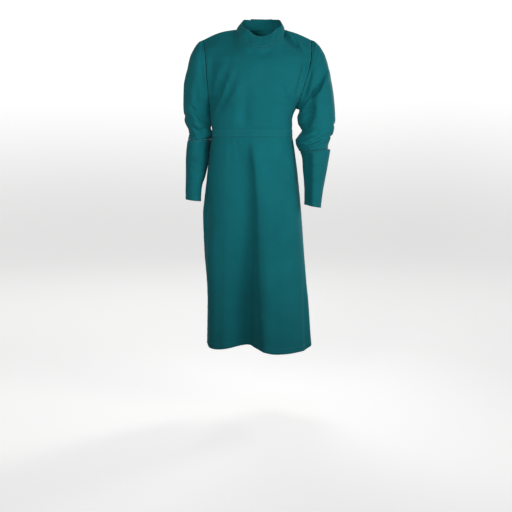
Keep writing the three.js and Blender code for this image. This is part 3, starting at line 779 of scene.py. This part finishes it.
# back panels, with folds like the front's
backLeft = {
    **singleCloth,
    "axis": bodyAxis,
    "seam": {"hold": 0.012, "width": 0.005, "puff": 0.0014, "pucker": 0.0007, "allowance": 0.004,
             "lean": (0, -0.0035, 0)},
    "slack": [(0.10, 0.0026, 5.3), (0.045, 0.0008, 1.7)],
    "isFree": lambda v: isHem(v) or isLeftLap(v),
    "sewing": [bottomSewing, {"isEdge": isLeftLap, "inset": 0.012}],
    # flat under the ties and their ends
    "calm": [
        underBand,
        {"x": (-0.075, 0.030), "z": (-0.690, -0.429), "fade": 0.025, "press": 0.0008},
        {"x": (-0.035, 0.050), "z": (-0.225, 0.020), "fade": 0.025, "press": 0.0008},
    ],
    "hems": [
        bottomHem,
        {"isEdge": isLeftLap, "width": 0.012, "height": 0.0004, "sink": 0.0006, "ripple": 0.0006},
    ],
    "creases": [
        # slack from the armhole, gathers under the tie, and long folds of the skirt
        {"path": [(0.160, -0.150), (0.128, -0.235), (0.092, -0.330)],
         "facing": 1, "depth": -0.0060, "left": 0.013, "right": 0.012},
        {"path": [(0.120, -0.120), (0.096, -0.215), (0.060, -0.318)],
         "facing": 1, "depth": -0.0040, "left": 0.014, "right": 0.012},
        {"path": [(0.098, -0.424), (0.104, -0.540)],
         "facing": 1, "depth": -0.0036, "left": 0.007, "right": 0.008, "fade": (0.05, 0.7)},
        {"path": [(0.060, -0.424), (0.064, -0.520)],
         "facing": 1, "depth": -0.0032, "left": 0.007, "right": 0.007, "fade": (0.05, 0.7)},
        {"path": [(0.082, -0.480), (0.094, -0.800), (0.112, -1.300)],
         "facing": 1, "depth": -0.0060, "left": 0.030, "right": 0.016, "fade": (0.2, 0.01)},
        {"path": [(0.036, -0.520), (0.040, -0.860), (0.052, -1.300)],
         "facing": 1, "depth": 0.0045, "left": 0.018, "right": 0.026, "fade": (0.3, 0.01)},
    ],
}
makeCloth("backLeft", "back_left", backLeft, "drill")

backRight = dict(
    backLeft,
    slack=[(0.10, 0.0026, 7.9), (0.045, 0.0008, 4.1)],
    isFree=lambda v: isHem(v) or isRightLap(v),
    sewing=[bottomSewing],
    hems=[bottomHem, {"isEdge": isRightLap, "width": 0.012, "height": 0.0004, "sink": 0.0, "ripple": 0.0}],
    creases=[
        {"path": [(-0.185, -0.150), (-0.150, -0.240), (-0.118, -0.338)],
         "facing": 1, "depth": -0.0062, "left": 0.012, "right": 0.013},
        {"path": [(-0.150, -0.125), (-0.126, -0.215), (-0.096, -0.300)],
         "facing": 1, "depth": -0.0036, "left": 0.012, "right": 0.014},
        {"path": [(-0.128, -0.424), (-0.134, -0.545)],
         "facing": 1, "depth": -0.0036, "left": 0.007, "right": 0.008, "fade": (0.05, 0.7)},
        {"path": [(-0.098, -0.424), (-0.102, -0.515)],
         "facing": 1, "depth": -0.0030, "left": 0.007, "right": 0.007, "fade": (0.05, 0.7)},
        {"path": [(-0.112, -0.470), (-0.122, -0.800), (-0.128, -1.300)],
         "facing": 1, "depth": -0.0064, "left": 0.016, "right": 0.030, "fade": (0.2, 0.01)},
        {"path": [(-0.160, -0.640), (-0.168, -0.900), (-0.172, -1.300)],
         "facing": 1, "depth": 0.0040, "left": 0.020, "right": 0.022, "fade": (0.3, 0.01)},
    ],
)
makeCloth("backRight", "back_right", backRight, "drill")

# sleeves, crumpled in front of the elbow
sleeveRight = {
    **singleCloth,
    "axis": ((-0.215, 0.005, -0.10), (-0.245, 0.01, -0.44), 0.055),
    "seam": {"hold": 0.012, "width": 0.005, "puff": 0.0020, "pucker": 0.0010, "allowance": 0.004},
    "slack": [(0.060, 0.0026, 2.2), (0.028, 0.0010, 6.4)],
    "creases": [
        # folds across the front of the elbow, slack above them, and folds behind the elbow
        {"path": [(-0.284, -0.296), (-0.256, -0.322), (-0.233, -0.351), (-0.210, -0.384)],
         "depth": -0.0080, "left": 0.008, "right": 0.010, "lip": 0.003},
        {"path": [(-0.294, -0.330), (-0.270, -0.352), (-0.244, -0.376)],
         "depth": -0.0040, "left": 0.008, "right": 0.010},
        {"path": [(-0.290, -0.398), (-0.266, -0.424), (-0.241, -0.436)],
         "depth": -0.0060, "left": 0.007, "right": 0.008},
        {"path": [(-0.207, -0.376), (-0.227, -0.410), (-0.249, -0.437)],
         "depth": -0.0060, "left": 0.007, "right": 0.009},
        {"path": [(-0.262, -0.150), (-0.284, -0.248), (-0.284, -0.320)],
         "depth": -0.0030, "left": 0.012, "right": 0.012},
        {"path": [(-0.234, -0.105), (-0.221, -0.202), (-0.212, -0.290)],
         "depth": -0.0048, "left": 0.009, "right": 0.012},
        {"path": [(-0.250, -0.200), (-0.246, -0.260), (-0.232, -0.318)],
         "depth": -0.0030, "left": 0.010, "right": 0.012},
        {"path": [(-0.286, -0.270), (-0.250, -0.310), (-0.222, -0.352)],
         "facing": 1, "depth": -0.0060, "left": 0.011, "right": 0.009},
        {"path": [(-0.288, -0.350), (-0.256, -0.382), (-0.226, -0.398)],
         "facing": 1, "depth": -0.0055, "left": 0.009, "right": 0.008},
        {"path": [(-0.240, -0.130), (-0.262, -0.220), (-0.262, -0.290)],
         "facing": 1, "depth": -0.0035, "left": 0.012, "right": 0.014},
        # fullness of the sleeve's head, and on its inside, against the front panel
        {"path": [(0.004, -0.030), (0.004, -0.085), (0.004, -0.170)],
         "plane": "side", "depth": 0.0080, "left": 0.050, "right": 0.050, "fade": (0.25, 0.5)},
        {"path": [(-0.016, -0.262), (-0.004, -0.325), (0.006, -0.440)],
         "plane": "side", "facing": 1, "depth": 0.0115, "left": 0.034, "right": 0.034, "fade": (0.4, 0.15)},
        # on its outside
        {"path": [(-0.030, -0.330), (0.020, -0.352), (0.068, -0.340)],
         "plane": "side", "depth": -0.0055, "left": 0.010, "right": 0.008},
        {"path": [(-0.020, -0.388), (0.024, -0.402), (0.064, -0.392)],
         "plane": "side", "depth": -0.0050, "left": 0.008, "right": 0.008},
    ],
}
makeCloth("sleeveRight", "sleeve_right", sleeveRight, "drill")

sleeveLeft = dict(
    sleeveRight,
    axis=((0.205, 0.005, -0.10), (0.225, 0.0, -0.48), 0.055),
    slack=[(0.060, 0.0026, 9.2), (0.028, 0.0010, 3.4)],
    creases=[
        # the deep slanting fold: the outer cloth stands over the inner
        {"path": [(0.276, -0.140), (0.254, -0.205), (0.237, -0.241),
                  (0.212, -0.268), (0.188, -0.288), (0.158, -0.306)], "fine": (0.020,),
         "depth": -0.0125, "left": 0.007, "right": 0.012, "fade": (0.35, 0.25)},
        {"path": [(0.286, -0.140), (0.264, -0.208), (0.246, -0.248), (0.222, -0.278), (0.196, -0.300)],
         "depth": 0.0075, "left": 0.016, "right": 0.008, "fade": (0.35, 0.3)},
        {"path": [(0.214, -0.140), (0.203, -0.186), (0.191, -0.241), (0.174, -0.284)],
         "depth": -0.0075, "left": 0.009, "right": 0.012},
        {"path": [(0.218, -0.284), (0.207, -0.340), (0.190, -0.379), (0.172, -0.408)],
         "depth": -0.0140, "left": 0.010, "right": 0.018},
        {"path": [(0.238, -0.285), (0.230, -0.345), (0.211, -0.390), (0.188, -0.416)],
         "depth": 0.0075, "left": 0.018, "right": 0.008},
        # folds across the front of the elbow
        {"path": [(0.148, -0.446), (0.180, -0.434), (0.220, -0.419), (0.270, -0.394)],
         "depth": -0.0060, "left": 0.006, "right": 0.007},
        {"path": [(0.152, -0.470), (0.184, -0.461), (0.216, -0.450), (0.272, -0.424)],
         "depth": -0.0075, "left": 0.006, "right": 0.006},
        {"path": [(0.166, -0.484), (0.200, -0.477), (0.240, -0.464), (0.280, -0.448)],
         "depth": -0.0060, "left": 0.005, "right": 0.005},
        {"path": [(0.190, -0.404), (0.226, -0.392), (0.262, -0.366)],
         "depth": -0.0035, "left": 0.007, "right": 0.008},
        {"path": [(0.292, -0.250), (0.290, -0.330), (0.276, -0.415)],
         "depth": -0.0030, "left": 0.012, "right": 0.012},
        # fullness of the sleeve's head
        {"path": [(0.004, -0.030), (0.004, -0.085), (0.004, -0.170)],
         "plane": "side", "facing": 1, "depth": 0.0060, "left": 0.050, "right": 0.050, "fade": (0.25, 0.5)},
        # behind the elbow and on its outside
        {"path": [(0.282, -0.260), (0.246, -0.306), (0.206, -0.342)],
         "facing": 1, "depth": -0.0070, "left": 0.010, "right": 0.012},
        {"path": [(0.292, -0.350), (0.250, -0.392), (0.206, -0.408)],
         "facing": 1, "depth": -0.0060, "left": 0.009, "right": 0.010},
        {"path": [(0.276, -0.430), (0.236, -0.446), (0.190, -0.446)],
         "facing": 1, "depth": -0.0055, "left": 0.007, "right": 0.007},
        {"path": [(-0.050, -0.360), (0.006, -0.384), (0.060, -0.376)],
         "plane": "side", "facing": 1, "depth": -0.0050, "left": 0.008, "right": 0.009},
        {"path": [(-0.056, -0.412), (0.004, -0.430), (0.058, -0.424)],
         "plane": "side", "facing": 1, "depth": -0.0055, "left": 0.007, "right": 0.008},
    ],
)
makeCloth("sleeveLeft", "sleeve_left", sleeveLeft, "drill")

# long double cuffs, stiffer than the sleeves
cuffRight = {
    **doubleCloth,
    "axis": ((-0.245, 0.0, -0.44), (-0.265, -0.03, -0.69), 0.042),
    "seam": {"hold": 0.008, "width": 0.003, "puff": 0.0006, "pucker": 0.0003, "allowance": 0.004},
    "slack": [(0.055, 0.0018, 4.4), (0.024, 0.0005, 7.1)],
    "isFree": isWrist,
    "sewing": [
        {"isEdge": isElbow, "inset": 0.003},
        {"isEdge": isElbow, "inset": 0.009},
        {"isEdge": isWrist, "inset": 0.014},
    ],
    "hems": [{"isEdge": isWrist, "width": 0.014, "height": 0.0005, "sink": 0.0007, "ripple": 0.0003}],
    "creases": [
        # short slanting folds, and a long soft edge down the inside of the front
        {"path": [(-0.282, -0.510), (-0.257, -0.527), (-0.230, -0.553)],
         "depth": -0.0032, "left": 0.006, "right": 0.008},
        {"path": [(-0.276, -0.552), (-0.246, -0.567), (-0.222, -0.567)],
         "depth": -0.0034, "left": 0.006, "right": 0.007},
        {"path": [(-0.290, -0.588), (-0.261, -0.603), (-0.246, -0.602)],
         "depth": -0.0022, "left": 0.006, "right": 0.007},
        {"path": [(-0.222, -0.446), (-0.236, -0.480), (-0.262, -0.496)],
         "depth": -0.0026, "left": 0.008, "right": 0.009},
        {"path": [(-0.224, -0.450), (-0.232, -0.560), (-0.242, -0.700)],
         "depth": 0.0042, "left": 0.009, "right": 0.022, "fade": (0.15, 0.02)},
        # behind, and fullness on the inside
        {"path": [(-0.286, -0.500), (-0.258, -0.520), (-0.232, -0.520)],
         "facing": 1, "depth": -0.0028, "left": 0.007, "right": 0.007},
        {"path": [(-0.008, -0.470), (-0.014, -0.550), (-0.022, -0.625)],
         "plane": "side", "facing": 1, "depth": 0.0060, "left": 0.030, "right": 0.030},
    ],
}
makeCloth("cuffRight", "cuff_right", cuffRight, "doubleDrill")

cuffLeft = dict(
    cuffRight,
    axis=((0.230, 0.0, -0.48), (0.218, -0.04, -0.71), 0.042),
    slack=[(0.055, 0.0014, 8.4), (0.024, 0.0005, 2.1)],
    creases=[
        {"path": [(0.194, -0.532), (0.228, -0.550), (0.266, -0.540)],
         "depth": -0.0024, "left": 0.007, "right": 0.008},
        {"path": [(0.196, -0.596), (0.228, -0.612), (0.254, -0.604)],
         "depth": -0.0022, "left": 0.007, "right": 0.007},
        # a long soft edge down the front, the cloth inside it turned away
        {"path": [(0.219, -0.480), (0.219, -0.580), (0.219, -0.720)],
         "depth": 0.0065, "left": 0.026, "right": 0.009, "fade": (0.1, 0.02)},
        {"path": [(0.194, -0.480), (0.194, -0.580), (0.196, -0.720)],
         "depth": -0.0065, "left": 0.012, "right": 0.016, "fade": (0.1, 0.02)},
        # behind
        {"path": [(0.272, -0.510), (0.236, -0.532), (0.200, -0.530)],
         "facing": 1, "depth": -0.0026, "left": 0.007, "right": 0.007},
    ],
)
makeCloth("cuffLeft", "cuff_left", cuffLeft, "doubleDrill")

# stand collar, its seam allowance turned down inside the panels
standCollar = {
    **doubleCloth, "cuts": 0, "level": 3,
    "axis": ((0.01, 0, 0), (0.01, 0, -1), 0.08),
    "seam": {"hold": 0.008, "width": 0.004, "puff": 0.0008, "pucker": 0.0003, "allowance": 0.0025,
             "lean": (0, 0, -0.0045)},
    "slack": [(0.050, 0.0016, 5.5)],
    "isFree": lambda v: not goesUp(v),
    "sewing": [{"isEdge": isAnyEdge, "inset": 0.004}],
    "creases": [
        {"path": [(-0.050, -0.020), (-0.040, -0.045), (-0.044, -0.066)],
         "depth": -0.0020, "left": 0.007, "right": 0.008},
        {"path": [(0.070, -0.006), (0.066, -0.034), (0.058, -0.060)],
         "depth": -0.0024, "left": 0.007, "right": 0.008},
        {"path": [(0.016, -0.030), (0.012, -0.050), (0.014, -0.074)],
         "depth": -0.0014, "left": 0.010, "right": 0.010},
    ],
}
makeCloth("standCollar", "collar", standCollar, "doubleDrill")

# waist band, ties and their ends
bandAndTies = {
    **tapeCloth,
    "axis": ((-0.01, 0, 0), (-0.01, 0, -1), 0.16),
    "seam": {"hold": 0.003, "width": 0.003, "puff": 0.0, "pucker": 0.0},
    "slack": [(0.030, 0.0005, 1.1)],
    "isFree": isAnyEdge,
    "sewing": [{"isEdge": isAnyEdge, "inset": 0.0022}],
}
for pieceName, nodeName in {
    "waistBand": "waist_band", "waistTieLeft": "waist_tie_left", "waistTieRight": "waist_tie_right",
    "waistTailLeft": "waist_tail_left", "waistTailRight": "waist_tail_right",
    "neckTailLeft": "neck_tail_left", "neckTailRight": "neck_tail_right",
}.items():
    makeCloth(pieceName, nodeName, bandAndTies, "tape")

# knots: two slanting grooves part the middle turn from the ends, which are ribbed
knotSet = {
    "level": 2, "slant": 0.28, "grooveDepth": 0.0016, "grooveAt": 0.42, "grooveWidth": 0.10,
    "ribHeight": 0.0007, "ribsDown": 9, "ribsAcross": 3, "ribsFrom": 0.45, "ribsGrow": 3,
}


def makeKnot(name, node):
    bm = bmesh.new()
    bm.from_mesh(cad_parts[node].data)
    bmesh.ops.remove_doubles(bm, verts=bm.verts, dist=solidSet["merge"])
    bmesh.ops.join_triangles(bm, faces=bm.faces, angle_face_threshold=math.pi, angle_shape_threshold=math.pi)
    bm = refine(bm, 0, knotSet["level"], name)
    low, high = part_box(node)
    middle, half = (low + high) / 2, (high - low) / 2
    for v in bm.verts:
        r = v.co - middle
        u, w = r.x / half.x, r.z / half.z
        fromMiddle = abs(u + knotSet["slant"] * w)
        groove = math.exp(-(((fromMiddle - knotSet["grooveAt"]) / knotSet["grooveWidth"]) ** 2))
        grown = min(1, max(0, fromMiddle - knotSet["ribsFrom"]) * knotSet["ribsGrow"])
        rib = math.sin(knotSet["ribsDown"] * w + knotSet["ribsAcross"] * u) * grown
        v.co += v.normal * (knotSet["ribHeight"] * rib - knotSet["grooveDepth"] * groove)
    bm.normal_update()
    grainMap(bm, (middle, middle - Vector((0, 0, 1)), half.x))
    knot = addObject(name, bm, materials["tape"])
    bm.free()
    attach(knot, "root")
    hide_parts(node)
    print("knot:", name, len(knot.data.polygons), "faces")


makeKnot("waistKnot", "waist_knot")
makeKnot("neckKnot", "neck_knot")
